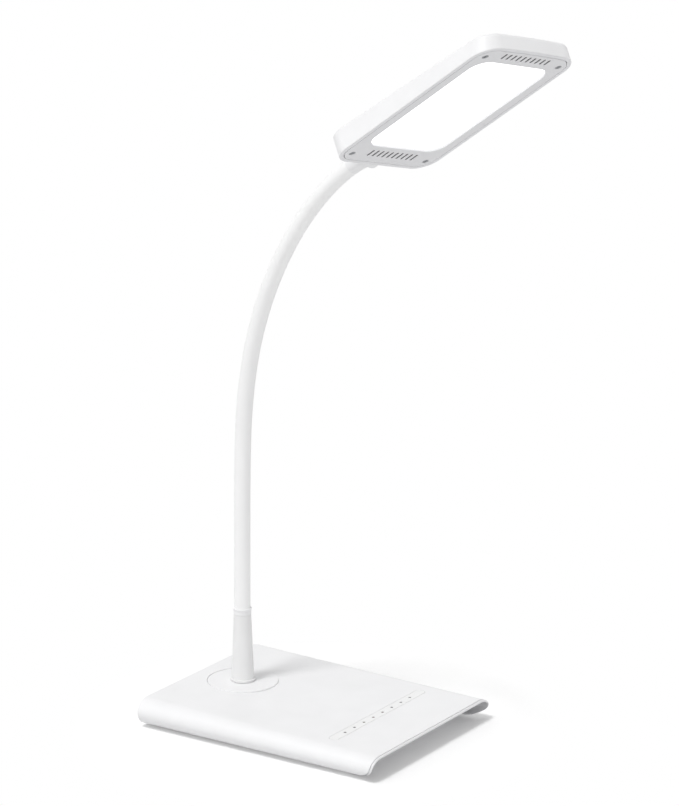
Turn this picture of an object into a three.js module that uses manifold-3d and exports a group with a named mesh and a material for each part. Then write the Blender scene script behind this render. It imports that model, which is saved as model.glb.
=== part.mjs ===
// Gooseneck desk lamp with a flat LED panel head, at rest with its neck bent over the base's front.
// Millimetres, +Z up, front towards -Y. The origin is on the desk straight below the post's axis,
// on the underside of the rear foot strip.

import * as THREE from 'three';
import { mergeVertices } from 'three/addons/utils/BufferGeometryUtils.js';
import Module from 'manifold-3d';

const wasm = await Module();
wasm.setup();

const { clamp, degToRad, lerp } = THREE.MathUtils;

// Shared sizes
const clearance = 0.3;
const overrun = 4;
const weld = 0.001;

// Base shell
const baseWidth = 150;
const baseBack = 36;
const baseFront = 155.5;
const baseHeightBack = 20;
const baseHeightFront = 16;
const floorGap = 1;
const noseWidth = 11.5;
const frontSweep = 16;
const shellWall = 2.2;
const lipReach = 16;
const backSill = 6;
const stripSetback = 43.5;
const stripPlace = baseFront - stripSetback;

// Base cover, its screws and bosses, the feet and the ballast
const coverThickness = 2;
const bayMargin = 27.5;
const bayFront = baseFront - bayMargin;
const bossRadius = 3.5;
const bossMargin = 7;
const bossHalfSpan = baseWidth / 2 - lipReach - bossMargin;
const bossBackMargin = 16;
const bossBackPlace = baseBack - bossBackMargin;
const coverScrewRadius = 1.3;
const coverScrewHeadRadius = 2.8;
const coverScrewHeadHeight = 0.9;
const coverScrewLength = 8;
const footMargin = 6;
const footLength = 2 * (bossHalfSpan - footMargin);
const footWidth = 8;
const footSink = 0.8;
const frontFootShift = 2;
const frontFootPlace = stripPlace + frontFootShift;
const bossGap = 1.5;
const ballastWidth = 2 * (bossHalfSpan - bossRadius - bossGap);
const ballastThickness = 5;
const ballastBackMargin = 17;
const ballastBack = baseBack - ballastBackMargin;

// Touch strip, indicator bar and control board
const stripMargin = 18;
const stripLength = baseWidth - 2 * stripMargin;
const stripWidth = 7;
const stripThickness = 0.9;
const stripSink = 0.3;
const pipCount = 8;
const pipMargin = 10.6;
const pipPitch = (stripLength - 2 * pipMargin) / pipCount;
const pipRadius = 0.8;
const barDepth = 4;
const barHeight = 2.4;
const ledHeight = 0.5;
const boardWidth = ballastWidth;
const boardDepth = 26;
const boardThickness = 1.6;
const boardShift = 2;
const boardPlace = stripPlace - boardShift;
const boardGap = 11;
const ballastFront = boardPlace - boardDepth / 2 - boardGap;
const standoffRadius = 2.5;

// Power inlet
const jackWidth = 9;
const jackHeight = 9;
const jackLength = 13;
const jackLevel = 9.5;
const jackBore = 2.9;
const jackBoreDepth = 9;
const jackPinRadius = 1;
const jackLeadRadius = 1.5;
const jackLeadRise = 0.9;
const socketShare = 0.255;
const socketDepthShare = 0.4;
const socketHalfDepthShare = 0.08;

// Turning post
const discRadius = 24.7;
const discSeam = 0.35;
const discThickness = 2.6;
const discProud = 0.5;
const discEdge = 0.4;
const pivotRadius = 7;
const pivotDrop = 7.6;
const washerRadius = 11;
const washerHeight = 0.8;
const nutAcross = 20;
const nutHeight = 3.6;
const coneLipRadius = 8.5;
const coneLipHeight = 1.4;
const coneFootRadius = 7.9;
const coneTopRadius = 6.05;
const collarRingRadius = 6.15;
const collarRingHeight = 2.4;

// Neck: eight stretches that meet in seven ball-ended joints
const neckFoot = 71.2;
const neckLength = 353;
const neckRadius = 5.65;
const coreRadius = 3.4;
const jointCount = 7;
const bendTurn = degToRad(4.9);
// The neck's lean from upright at its foot, at each joint and at its end
const neckLeans = [0, 0.5, 0.5, 2.5, 11, 22, 32.5, 45.5, 55].map(degToRad);
const coreIntoFerrule = 2.5;

// Swivel between the neck and the head
const ferruleLength = 13.6;
const ferruleStartRadius = 5.8;
const ferruleFlarePlace = 4.5;
const ferruleEndRadius = 6.7;
const swivelGroove = 1.2;
const headCollarRadius = 8.5;
const headCollarLength = 6.1;
const headCollarShift = 1.2;
const spigotRadius = 3.9;
const clipPlace = 5.7;
const clipThickness = 1;
const clipDepth = 1.2;
const stemRadius = 3;
const stemBore = 1.6;
const collarNutAcross = 8;
const collarNutHeight = 2;
const headLeadRadius = 1.2;
const headLeadSetback = 0.5;

// Head shell and bezel
const faceLength = 150.2;
const faceWidth = 86.7;
const faceCorner = 14.9;
const tipBow = 1.8;
const headNeckThickness = 17.4;
const headTipThickness = 12;
const headRoll = degToRad(14.8);
const axisLevel = 10.9;
const headWall = 2;
const headRim = 3;
const rimRound = 0.6;
const backRound = 3;
const headDraft = 2;
const bezelThickness = 1.6;
const windowNeckMargin = 22.75;
const windowTipMargin = 17.35;
const windowSideMargin = 10.4;
const windowLength = faceLength - windowNeckMargin - windowTipMargin;
const windowWidth = faceWidth - 2 * windowSideMargin;
const windowCorner = 11.3;
const ventCount = 10;
const ventPitchShare = 0.066;
const ventPitch = ventPitchShare * windowWidth;
const ventWidth = 1.5;
const ventNeckPlace = 14.3;
const ventNeckLength = 7.6;
const ventTipMargin = 9.2;
const ventTipPlace = faceLength - ventTipMargin;
const ventTipLength = 6.1;
const headScrewNeckPlace = 11.1;
const headScrewTipMargin = 12.6;
const headScrewTipPlace = faceLength - headScrewTipMargin;
const headScrewMargin = 9.95;
const headScrewHalfSpan = faceWidth / 2 - headScrewMargin;
const headScrewRadius = 1;
const headScrewHeadRadius = 1.9;
const headScrewHeadHeight = 0.6;
const headScrewSink = 0.2;
const headScrewLength = 6;
const headBossRadius = 2.7;
const ribMargin = 15.35;
const ribLength = faceWidth - 2 * ribMargin;
const ribThickness = 2;
const ribPlaceShares = [0.266, 0.5, 0.766];

// Light panel
const panelMargin = 1.4;
const diffuserThickness = 1.5;
const guideThickness = 3;
const reflectorThickness = 0.4;
const spreaderThickness = 1.5;
const ledStripMargin = 5.05;
const ledStripLength = windowLength - 2 * ledStripMargin;
const ledStripHeight = 4.5;
const ledStripThickness = 1.2;
const ledCount = 12;
const ledDepth = 0.8;
const ledLength = 3;
const ledWidth = 2;

function finish(color, roughness, metalness) {
  return new THREE.MeshStandardMaterial({ color, roughness, metalness });
}

const whitePlastic = () => finish(0xf3f3f2, 0.42, 0);
const sleeveWhite = () => finish(0xf0f0f0, 0.55, 0);
const facePlastic = () => finish(0xe4e4e6, 0.5, 0);
const stripPlastic = () => finish(0xdcdcdd, 0.35, 0);
const opalPlastic = () => finish(0xffffff, 0.3, 0);
const steel = () => finish(0xb4b6b8, 0.35, 1);
const aluminium = () => finish(0xc9cbcd, 0.4, 1);
const brass = () => finish(0xc8a45a, 0.35, 1);
const blackPlastic = () => finish(0x1c1c1e, 0.5, 0);
const greyRubber = () => finish(0x3a3a3c, 0.9, 0);
const boardGreen = () => finish(0x1f5a3a, 0.6, 0);

function addPiece(name, geometry, material, parent) {
  const piece = new THREE.Mesh(geometry, material);
  piece.name = name;
  parent.add(piece);
  return piece;
}

// A closed geometry as a solid that can be joined and cut
function solidOf(geometry) {
  const bare = geometry.clone();
  bare.deleteAttribute('normal');
  bare.deleteAttribute('uv');
  const merged = mergeVertices(bare, weld);
  return new wasm.Manifold(new wasm.Mesh({
    numProp: 3,
    vertProperties: new Float32Array(merged.attributes.position.array),
    triVerts: new Uint32Array(merged.index.array),
  }));
}

// One shape with others joined to it, and then others cut away
function worked(geometry, joined, removed) {
  let solid = solidOf(geometry);
  for (const shape of joined) {
    solid = solid.add(solidOf(shape));
  }
  for (const shape of removed) {
    solid = solid.subtract(solidOf(shape));
  }
  const mesh = solid.getMesh();
  const result = new THREE.BufferGeometry();
  result.setAttribute('position', new THREE.BufferAttribute(new Float32Array(mesh.vertProperties), 3));
  result.setIndex(new THREE.BufferAttribute(new Uint32Array(mesh.triVerts), 1));
  return result;
}

// A box between two heights, centred on x and y
function block(width, depth, low, high, x, y) {
  return new THREE.BoxGeometry(width, depth, high - low).translate(x, y, (low + high) / 2);
}

// An upright round bar between two heights
function bar(radius, low, high, x, y, sides = 16) {
  const shape = new THREE.CylinderGeometry(radius, radius, high - low, sides);
  return shape.rotateX(Math.PI / 2).translate(x, y, (low + high) / 2);
}

// A hexagonal bar whose flats face +Y and -Y
function hexBar(across, low, high) {
  return bar(across / 2 / Math.cos(Math.PI / 6), low, high, 0, 0, 6).rotateZ(Math.PI / 6);
}

// A turned ring about Z: the profile's points are [radius, height], up the outside first
function turned(profile, sides = 32) {
  const points = [...profile, profile[0]].map(([radius, height]) => new THREE.Vector2(radius, height));
  return new THREE.LatheGeometry(points, sides).rotateX(Math.PI / 2);
}

// A bar with round ends, lying along X and standing up from z = 0
function slotBlock(length, width, height, segments = 4) {
  const radius = width / 2;
  const reach = length / 2 - radius;
  const outline = new THREE.Shape();
  outline.absarc(reach, 0, radius, -Math.PI / 2, Math.PI / 2, false);
  outline.absarc(-reach, 0, radius, Math.PI / 2, 3 * Math.PI / 2, false);
  return new THREE.ExtrudeGeometry(outline, { depth: height, bevelEnabled: false, curveSegments: segments });
}

// A round lead along points chosen by hand
function leadAlong(points, radius) {
  const halfSides = 4;
  const route = new THREE.CatmullRomCurve3(points.map((point) => new THREE.Vector3(...point)));
  const outline = new THREE.Shape();
  outline.absarc(0, 0, radius, 0, 2 * Math.PI, false);
  const steps = Math.ceil(route.getLength() / (4 * radius));
  return new THREE.ExtrudeGeometry(outline, { steps, extrudePath: route, curveSegments: halfSides });
}

function indexedGeometry(points, faces) {
  const geometry = new THREE.BufferGeometry();
  const places = points.flatMap((point) => point.toArray());
  geometry.setAttribute('position', new THREE.Float32BufferAttribute(places, 3));
  let volume = 0;
  for (let face = 0; face < faces.length; face += 3) {
    const [a, b, c] = faces.slice(face, face + 3).map((index) => points[index]);
    volume += new THREE.Vector3().crossVectors(b, c).dot(a);
  }
  geometry.setIndex(volume > 0 ? faces : faces.slice().reverse());
  return geometry;
}

function signedArea(points) {
  return points.reduce((sum, point, index) => {
    const next = points[(index + 1) % points.length];
    return sum + (point.x * next.y - next.x * point.y) / 2;
  }, 0);
}

// Closed skin over rings of equal point counts, its end rings filled as they look when flattened
function skin(rings, flatten) {
  const count = rings[0].length;
  const lastRing = (rings.length - 1) * count;
  const faces = [];
  for (let ring = 0; ring < lastRing; ring += count) {
    for (let step = 0; step < count; step += 1) {
      const here = ring + step;
      const beside = ring + ((step + 1) % count);
      faces.push(here, beside, beside + count, here, beside + count, here + count);
    }
  }
  const flat = rings[0].map(flatten);
  const turn = Math.sign(signedArea(flat));
  for (const [a, b, c] of THREE.ShapeUtils.triangulateShape(flat, [])) {
    const alike = Math.sign(signedArea([flat[a], flat[b], flat[c]])) === turn;
    const [second, third] = alike ? [b, c] : [c, b];
    faces.push(a, third, second);
    faces.push(lastRing + a, lastRing + second, lastRing + third);
  }
  return indexedGeometry(rings.flat(), faces);
}

// Height of the base's sloping top above the desk
function baseHeight(y) {
  return lerp(baseHeightBack, baseHeightFront, (baseBack - y) / (baseBack + baseFront));
}

const topSlope = Math.atan2(baseHeightBack - baseHeightFront, baseBack + baseFront);
const coverTop = floorGap + coverThickness;
const discTop = baseHeight(0) + discProud;
const cupFloor = discTop - discThickness - clearance;
const cupUnderside = cupFloor - shellWall;
const pivotBottom = discTop - discThickness - pivotDrop;
const boardTop = baseHeight(-stripPlace) - shellWall - barHeight - ledHeight - 2 * clearance;
const bossPlaces = [-1, 1].flatMap((side) => [
  [side * bossHalfSpan, -stripPlace],
  [side * bossHalfSpan, bossBackPlace],
]);
const pipPlaces = Array.from({ length: pipCount }, (_, index) => (index - (pipCount - 1) / 2) * pipPitch);

// Sets a shape modelled over z = 0 onto the sloping top
function onTop(shape, y) {
  return shape.rotateX(topSlope).translate(0, y, baseHeight(y));
}

// One cross section of the base: flat top and bottom with a half-round nose at each side
function baseSection(y, inset) {
  const noseSteps = 9;
  const high = baseHeight(y) - inset;
  const low = floorGap + inset;
  const ring = [];
  for (const side of [1, -1]) {
    for (let step = 0; step <= noseSteps; step += 1) {
      const angle = side * Math.PI * (step / noseSteps - 1 / 2);
      const reach = baseWidth / 2 - noseWidth + (noseWidth - inset) * Math.cos(angle);
      const z = lerp(low, high, (1 + Math.sin(angle)) / 2);
      ring.push(new THREE.Vector3(side * reach, y, z));
    }
  }
  return ring;
}

// What the swept-back front end takes off: its edge runs straight down at first and then back
function frontSweepCut() {
  const steps = 8;
  const sweepPower = 3;
  const outline = new THREE.Shape();
  outline.moveTo(-baseFront, baseHeightFront + overrun);
  outline.lineTo(-baseFront - overrun, baseHeightFront + overrun);
  outline.lineTo(-baseFront - overrun, floorGap - overrun);
  outline.lineTo(-baseFront + frontSweep, floorGap - overrun);
  for (let step = 0; step <= steps; step += 1) {
    const depthShare = 1 - step / steps;
    const z = lerp(baseHeightFront, floorGap, depthShare);
    outline.lineTo(-baseFront + frontSweep * depthShare ** sweepPower, z);
  }
  const width = baseWidth + 2 * overrun;
  const shape = new THREE.ExtrudeGeometry(outline, { depth: width, bevelEnabled: false });
  return shape.translate(0, 0, -width / 2).rotateX(Math.PI / 2).rotateZ(Math.PI / 2);
}

function makeBaseShell() {
  const flat = (point) => new THREE.Vector2(point.x, point.z);
  const outside = skin([baseSection(baseBack, 0), baseSection(-baseFront, 0)], flat);
  const hollow = [baseBack - shellWall, -baseFront - overrun].map((y) => baseSection(y, shellWall));
  const openingBack = baseBack - backSill;
  const openingLength = openingBack + baseFront + overrun;
  const openingTop = floorGap + shellWall + clearance;
  const opening = block(baseWidth - 2 * lipReach, openingLength, floorGap - overrun, openingTop,
    0, openingBack - openingLength / 2);
  const shell = worked(outside, [], [skin(hollow, flat), opening, frontSweepCut()]);

  const cupRadius = discRadius + discSeam;
  const wallMiddle = (y) => baseHeight(y) - shellWall / 2;
  const cup = bar(cupRadius + shellWall, cupUnderside, wallMiddle(0), 0, 0, 40);
  const bosses = bossPlaces.map(([x, y]) => bar(bossRadius, coverTop + clearance, wallMiddle(y), x, y));
  const stripDepth = stripThickness + stripSink + clearance;
  const stripRecess = slotBlock(stripLength + 2 * clearance, stripWidth + 2 * clearance, stripDepth + overrun);
  const pipHoles = pipPlaces.map((x) => (
    onTop(bar(pipRadius + clearance, -shellWall - overrun, 0, x, 0, 10), -stripPlace)
  ));
  const pilotHoles = bossPlaces.map(([x, y]) => (
    bar(coverScrewRadius + clearance, coverTop, coverTop + coverScrewLength, x, y, 12)
  ));
  const jackHole = block(jackWidth + 2 * clearance, 2 * (shellWall + overrun),
    jackLevel - jackHeight / 2 - clearance, jackLevel + jackHeight / 2 + clearance, 0, baseBack);
  return worked(shell, [cup, ...bosses], [
    bar(cupRadius, cupFloor, discTop + overrun, 0, 0, 40),
    bar(pivotRadius + clearance, cupUnderside - overrun, discTop + overrun, 0, 0, 32),
    onTop(stripRecess.translate(0, 0, -stripDepth), -stripPlace),
    ...pipHoles,
    ...pilotHoles,
    jackHole,
  ]);
}

function makeBaseCover() {
  const width = baseWidth - 2 * (lipReach + clearance);
  const back = baseBack - backSill - clearance;
  const length = back + bayFront;
  const middle = back - length / 2;
  const wallTop = baseHeight(-bayFront) - shellWall - clearance;
  const plate = block(width, length, floorGap, wallTop, 0, middle);
  const hollow = block(width - 2 * coverThickness, length, coverTop, wallTop + overrun,
    0, middle + coverThickness);
  const standoffAcross = boardWidth / 2 - 2 * standoffRadius;
  const standoffAlong = boardDepth / 2 - 1.5 * standoffRadius;
  const standoffs = [-1, 1].flatMap((side) => [-1, 1].map((end) => (
    bar(standoffRadius, floorGap + footSink + clearance, boardTop - boardThickness - clearance,
      side * standoffAcross, end * standoffAlong - boardPlace, 12)
  )));
  const headSeat = floorGap + coverScrewHeadHeight + clearance;
  const screwHoles = bossPlaces.flatMap(([x, y]) => [
    bar(coverScrewRadius + clearance, floorGap - overrun, coverTop + overrun, x, y, 12),
    bar(coverScrewHeadRadius + clearance, floorGap - overrun, headSeat, x, y),
  ]);
  const footRecesses = [0, -frontFootPlace].map((y) => (
    slotBlock(footLength + 2 * clearance, footWidth + 2 * clearance, footSink + overrun)
      .translate(0, y, floorGap - overrun)
  ));
  return worked(worked(plate, [], [hollow]), standoffs, [...screwHoles, ...footRecesses]);
}

// A screw with a slotted head from z = 0 and its shank above it
function makeScrew(headRadius, headHeight, radius, length) {
  const head = bar(headRadius, 0, headHeight, 0, 0);
  const shank = bar(radius, headHeight / 2, length, 0, 0, 8);
  const slot = block(1.4 * headRadius, headRadius / 3, -overrun, headHeight / 2, 0, 0);
  return worked(head, [shank], [slot]);
}

// The board with its chips, its lead socket and one light under each pip
function makeControlBoard() {
  // Width, depth, height, x and y of each part, in parts of the board's own sizes
  const partShares = [
    [0.1, 0.34, 0.75, -0.21, 0.22],
    [0.07, 0.2, 0.7, 0.05, 0.25],
    [0.06, 0.2, 1.6, -0.37, 0.25],
    [0.09, 2 * socketHalfDepthShare, 2.1, socketShare, socketDepthShare],
  ];
  const board = block(boardWidth, boardDepth, -boardThickness, 0, 0, 0);
  const parts = partShares.map(([width, depth, height, x, y]) => (
    block(width * boardWidth, depth * boardDepth, -boardThickness / 2, height * boardThickness,
      x * boardWidth, y * boardDepth)
  ));
  const lights = pipPlaces.map((x) => (
    block(2 * pipRadius, 2 * pipRadius, -boardThickness / 2, ledHeight, x, boardPlace - stripPlace)
  ));
  return worked(board, [...parts, ...lights], []);
}

function makeIndicatorBar() {
  const top = -shellWall - clearance;
  const rail = block(pipCount * pipPitch, barDepth, top - barHeight, top, 0, 0);
  const pips = pipPlaces.map((x) => bar(pipRadius, top - barHeight / 2, -stripSink, x, 0, 10));
  return worked(rail, pips, []);
}

function makeTouchStrip() {
  const strip = slotBlock(stripLength, stripWidth, stripThickness).translate(0, 0, -stripThickness - stripSink);
  const holes = pipPlaces.map((x) => bar(pipRadius + clearance, -stripThickness - overrun, overrun, x, 0, 10));
  return worked(strip, [], holes);
}

// The inlet's body hangs from z = 0 at its open end, its bore running down into it
function makePowerJack() {
  const body = block(jackWidth, jackHeight, -jackLength, 0, 0, 0);
  return worked(body, [], [bar(jackBore, -jackBoreDepth, overrun, 0, 0)]);
}

// The lead from the inlet's inner end, round the pivot's nut and over the ballast to the board's socket
function makeJackLead() {
  // How far each point is across, forward and up, in parts of the way from the inlet to the socket
  const pointShares = [
    [0.125, 0, 0], [0.125, 0.022, 0], [0.21, 0.052, 0], [0.67, 0.123, 0.04], [0.96, 0.223, 0.08],
    [1, 0.356, 0.12], [1, 0.69, 0.44], [1, 0.94, 0.96], [1, 0.973, 1], [1, 1, 1],
  ];
  const startY = baseBack - jackLength - clearance;
  const endY = (socketDepthShare + socketHalfDepthShare) * boardDepth + clearance - boardPlace;
  const startLevel = jackLevel + jackLeadRise;
  const endLevel = boardTop + boardThickness;
  return leadAlong(pointShares.map(([across, forward, up]) => [
    across * socketShare * boardWidth,
    lerp(startY, endY, forward),
    lerp(startLevel, endLevel, up),
  ]), jackLeadRadius);
}

function buildBase(lamp) {
  addPiece('base_shell', makeBaseShell(), whitePlastic(), lamp);
  addPiece('base_cover', makeBaseCover(), facePlastic(), lamp);
  bossPlaces.forEach(([x, y], index) => {
    const screw = makeScrew(coverScrewHeadRadius, coverScrewHeadHeight, coverScrewRadius, coverScrewLength);
    addPiece(`cover_screw_${index + 1}`, screw, steel(), lamp).position.set(x, y, floorGap);
  });
  const ballastLow = coverTop + clearance;
  const ballast = block(ballastWidth, ballastFront + ballastBack, ballastLow, ballastLow + ballastThickness,
    0, (ballastBack - ballastFront) / 2);
  addPiece('ballast_plate', ballast, steel(), lamp);
  addPiece('control_board', makeControlBoard(), boardGreen(), lamp).position.set(0, -boardPlace, boardTop);
  addPiece('indicator_bar', onTop(makeIndicatorBar(), -stripPlace), opalPlastic(), lamp);
  addPiece('touch_strip', onTop(makeTouchStrip(), -stripPlace), stripPlastic(), lamp);

  const jack = addPiece('power_jack', makePowerJack(), blackPlastic(), lamp);
  jack.position.set(0, baseBack, jackLevel);
  jack.rotation.x = -Math.PI / 2;
  const jackPin = bar(jackPinRadius, clearance - jackBoreDepth, -jackPinRadius, 0, 0, 12);
  const pin = addPiece('jack_pin', jackPin, brass(), lamp);
  pin.position.copy(jack.position);
  pin.rotation.copy(jack.rotation);
  addPiece('jack_lead', makeJackLead(), blackPlastic(), lamp);

  const foot = () => slotBlock(footLength, footWidth, floorGap + footSink - clearance);
  addPiece('foot_strip_rear', foot(), greyRubber(), lamp);
  addPiece('foot_strip_front', foot(), greyRubber(), lamp).position.set(0, -frontFootPlace, 0);
}

function buildPost(lamp) {
  const boreRadius = coreRadius + clearance;
  const discBottom = discTop - discThickness;
  addPiece('post_disc', turned([
    [pivotRadius, pivotBottom],
    [pivotRadius, discBottom],
    [discRadius, discBottom],
    [discRadius, discTop - discEdge],
    [discRadius - discEdge, discTop],
    [boreRadius, discTop],
    [boreRadius, pivotBottom],
  ]), whitePlastic(), lamp);

  const holeRadius = pivotRadius + clearance;
  const washerTop = cupUnderside - clearance;
  const washerBottom = washerTop - washerHeight;
  const washerHole = bar(holeRadius, washerBottom - overrun, washerTop + overrun, 0, 0, 24);
  const washer = worked(bar(washerRadius, washerBottom, washerTop, 0, 0, 32), [], [washerHole]);
  addPiece('swivel_washer', washer, steel(), lamp);
  const nutTop = washerBottom - clearance;
  const nutBottom = nutTop - nutHeight;
  const nutHole = bar(holeRadius, nutBottom - overrun, nutTop + overrun, 0, 0, 24);
  addPiece('swivel_nut', worked(hexBar(nutAcross, nutBottom, nutTop), [], [nutHole]), steel(), lamp);

  const coneBottom = discTop + clearance;
  const ringBottom = neckFoot - clearance - collarRingHeight;
  addPiece('post_cone', turned([
    [coneLipRadius, coneBottom],
    [coneLipRadius, coneBottom + coneLipHeight],
    [coneFootRadius, coneBottom + coneLipHeight],
    [coneTopRadius, ringBottom - clearance],
    [boreRadius, ringBottom - clearance],
    [boreRadius, coneBottom],
  ]), whitePlastic(), lamp);
  addPiece('collar_ring', turned([
    [collarRingRadius, ringBottom],
    [collarRingRadius, ringBottom + collarRingHeight],
    [boreRadius, ringBottom + collarRingHeight],
    [boreRadius, ringBottom],
  ]), whitePlastic(), lamp);
}

// Distances of the neck's foot, joints and end along its centre line
const stationPlaces = neckLeans.map((_, index) => clamp((index - 1 / 2) / jointCount, 0, 1) * neckLength);

// The neck's centre line at a distance from its foot: arcs whose lean runs evenly between stations
function neckFrame(distance) {
  let lean = neckLeans[0];
  let forward = 0;
  let height = neckFoot;
  for (let index = 1; index <= jointCount + 1; index += 1) {
    const start = stationPlaces[index - 1];
    const span = stationPlaces[index] - start;
    const run = Math.min(distance - start, span);
    if (run > 0) {
      const half = (neckLeans[index] - neckLeans[index - 1]) * run / span / 2;
      const chord = half === 0 ? run : run * Math.sin(half) / half;
      forward += chord * Math.sin(lean + half);
      height += chord * Math.cos(lean + half);
      lean += 2 * half;
    }
  }
  return {
    origin: new THREE.Vector3(0, -forward, height),
    along: new THREE.Vector3(0, -Math.sin(lean), Math.cos(lean)),
    back: new THREE.Vector3(0, Math.cos(lean), Math.sin(lean)),
    lean,
  };
}

// Skin over circles across the neck: each ring has a frame, a way ahead of it and a radius
function neckSkin(rings, closed, sides) {
  const points = [];
  const across = new THREE.Vector3(1, 0, 0);
  const corners = rings.map(({ frame, ahead, radius }) => {
    const first = points.length;
    const count = radius === 0 ? 1 : sides;
    const centre = frame.origin.clone().addScaledVector(frame.along, ahead);
    for (let step = 0; step < count; step += 1) {
      const angle = 2 * Math.PI * step / sides;
      points.push(centre.clone()
        .addScaledVector(across, radius * Math.cos(angle))
        .addScaledVector(frame.back, radius * Math.sin(angle)));
    }
    return (step) => first + (step % count);
  });
  const faces = [];
  const bands = closed ? corners.length : corners.length - 1;
  for (let band = 0; band < bands; band += 1) {
    const here = corners[band];
    const next = corners[(band + 1) % corners.length];
    for (let step = 0; step < sides; step += 1) {
      const halves = [
        [here(step), here(step + 1), next(step + 1)],
        [here(step), next(step + 1), next(step)],
      ];
      faces.push(...halves.filter((half) => new Set(half).size === 3).flat());
    }
  }
  return indexedGeometry(points, faces);
}

// Rings over a ball centred on a joint, from one distance off its axis to another
function ballRings(frame, ballRadius, from, to) {
  const steps = 2;
  const start = Math.asin(from / ballRadius);
  const end = Math.asin(to / ballRadius);
  return Array.from({ length: steps + 1 }, (_, step) => {
    const angle = lerp(start, end, step / steps);
    return { frame, ahead: ballRadius * Math.cos(angle), radius: ballRadius * Math.sin(angle) };
  });
}

// Rings of one radius at even distances strictly between two places on the neck
function stretchRings(start, end, radius) {
  const steps = 4;
  return Array.from({ length: steps - 1 }, (_, step) => (
    { frame: neckFrame(lerp(start, end, (step + 1) / steps)), ahead: 0, radius }
  ));
}

// Rings in one plane, which make a flat end
function flatRings(frame, ahead, ...radii) {
  return radii.map((radius) => ({ frame, ahead, radius }));
}

// Each stretch ends in a ball over its upper joint, and sits over the ball of the one below it
function buildNeck(bend) {
  const sleeveSides = 20;
  const coreSides = 12;
  const sleeveBore = coreRadius + clearance;
  const socketRadius = neckRadius + clearance;
  for (let index = 0; index <= jointCount; index += 1) {
    const first = index === 0;
    const last = index === jointCount;
    const start = stationPlaces[index] + (first ? 0 : socketRadius);
    const end = stationPlaces[index + 1];
    const lower = neckFrame(stationPlaces[index]);
    const upper = neckFrame(end);

    const sleeveFoot = first
      ? flatRings(lower, 0, neckRadius, sleeveBore)
      : ballRings(lower, socketRadius, neckRadius, sleeveBore);
    const sleeveHead = last
      ? flatRings(upper, 0, sleeveBore, neckRadius)
      : ballRings(upper, neckRadius, sleeveBore, neckRadius);
    addPiece(`neck_sleeve_${index + 1}`, neckSkin([
      ...sleeveFoot,
      ...stretchRings(start, end, sleeveBore),
      ...sleeveHead,
      ...stretchRings(end, start, neckRadius),
    ], true, sleeveSides), sleeveWhite(), bend);

    const coreFoot = first
      ? flatRings(lower, pivotBottom + clearance - neckFoot, 0, coreRadius)
      : ballRings(lower, socketRadius, 0, coreRadius);
    const coreHead = last
      ? flatRings(upper, coreIntoFerrule, coreRadius, 0)
      : ballRings(upper, neckRadius, coreRadius, 0);
    addPiece(`neck_core_${index + 1}`, neckSkin([
      ...coreFoot,
      ...stretchRings(start, end, coreRadius),
      ...coreHead,
    ], false, coreSides), steel(), bend);
  }
}

const ferruleTop = clearance + ferruleLength;
const collarStart = ferruleTop + swivelGroove;
const faceStart = collarStart + headCollarLength + clearance;
const spigotEnd = coreIntoFerrule + 2 * clearance;
const swivelSides = 24;

// The ferrule on the neck's end, and the spring ring that holds the head's spigot in it
function buildFerrule(tip) {
  const coreBore = coreRadius + clearance;
  const spigotBore = spigotRadius + clearance;
  const coreStop = coreIntoFerrule + clearance;
  const clipOuter = spigotRadius + clipDepth / 2;
  const clipInner = spigotRadius - clipDepth / 2;
  const clipTop = clipPlace + clipThickness;
  addPiece('neck_ferrule', turned([
    [ferruleStartRadius, clearance],
    [ferruleStartRadius, ferruleFlarePlace],
    [ferruleEndRadius, ferruleTop],
    [spigotBore, ferruleTop],
    [spigotBore, clipTop + clearance],
    [clipOuter + clearance, clipTop + clearance],
    [clipOuter + clearance, clipPlace - clearance],
    [spigotBore, clipPlace - clearance],
    [spigotBore, coreStop],
    [coreBore, coreStop],
    [coreBore, clearance],
  ], swivelSides), whitePlastic(), tip);
  addPiece('ferrule_clip', turned([
    [clipOuter, clipPlace],
    [clipOuter, clipTop],
    [clipInner, clipTop],
    [clipInner, clipPlace],
  ], swivelSides), steel(), tip);
}

// Thickness of the head at a distance from its neck end
function headThickness(along) {
  return lerp(headNeckThickness, headTipThickness, along / faceLength);
}

// The head's outline, inset all round: a rounded rectangle whose tip end bows out
function headOutline(inset) {
  const cornerSteps = 6;
  const bowSteps = 8;
  const radius = faceCorner - inset;
  const reach = faceWidth / 2 - faceCorner;
  const corners = [
    [faceLength - faceCorner, -reach, -1],
    [faceLength - faceCorner, reach, 0],
    [faceCorner, reach, 1],
    [faceCorner, -reach, 2],
  ];
  const outline = corners.flatMap(([along, across, turns]) => (
    Array.from({ length: cornerSteps + 1 }, (_, step) => {
      const angle = Math.PI / 2 * (turns + step / cornerSteps);
      return [along + radius * Math.cos(angle), across + radius * Math.sin(angle)];
    })
  ));
  const tipEdge = Array.from({ length: bowSteps - 1 }, (_, step) => (
    [faceLength - inset, lerp(-reach, reach, (step + 1) / bowSteps)]
  ));
  outline.splice(cornerSteps + 1, 0, ...tipEdge);
  return outline.map(([along, across]) => {
    const bow = tipBow * (along / faceLength) ** 2 * (2 * across / faceWidth) ** 2;
    return new THREE.Vector2(along - bow, across);
  });
}

// Solid over outlines given as [inset, level], the level taken from the face or from the back
function headForm(fromFace, fromBack) {
  const faceRings = fromFace.map(([inset, level]) => (
    headOutline(inset).map((point) => new THREE.Vector3(point.x, point.y, level))
  ));
  const backRings = fromBack.map(([inset, level]) => (
    headOutline(inset).map((point) => new THREE.Vector3(point.x, point.y, headThickness(point.x) + level))
  ));
  return skin([...faceRings, ...backRings], (point) => new THREE.Vector2(point.x, point.y));
}

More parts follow.
